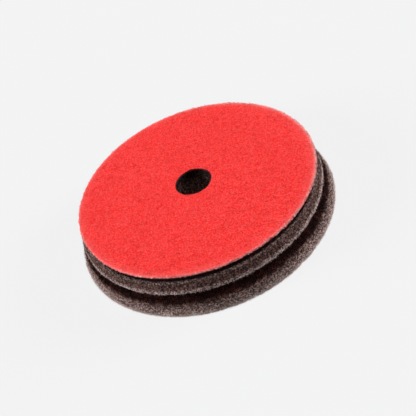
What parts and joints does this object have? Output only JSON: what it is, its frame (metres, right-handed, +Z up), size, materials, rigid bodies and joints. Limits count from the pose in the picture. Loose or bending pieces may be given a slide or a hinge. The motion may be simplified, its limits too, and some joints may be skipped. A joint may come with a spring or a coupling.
{
  "type": "foam polishing pad",
  "caption": "Round open-cell foam polishing pad with a red loop backing, a centre hole and a V-shaped flex groove round its flank.",
  "frame": {"origin": "centre of the working face, on the pad's axis, where the pad rests when it stands on its foam", "axes": "+Z up along the pad's axis, from the working face to the loop face; X and Y are free, because the pad is round"},
  "size_m": [0.1496, 0.1496, 0.0245],
  "materials": {
    "open_cell_foam": "reticulated open-cell polyurethane foam, warm dark grey",
    "hot_melt_film": "thin dark adhesive film",
    "knitted_cloth": "pale red warp knit, seen only at the cut rim",
    "napped_loops": "bright red brushed loop pile"
  },
  "bodies": {
    "root": {"foam_pad": "open_cell_foam", "bonding_film": "hot_melt_film", "ground_cloth": "knitted_cloth", "loop_pile": "napped_loops"}
  },
  "joints": []
}
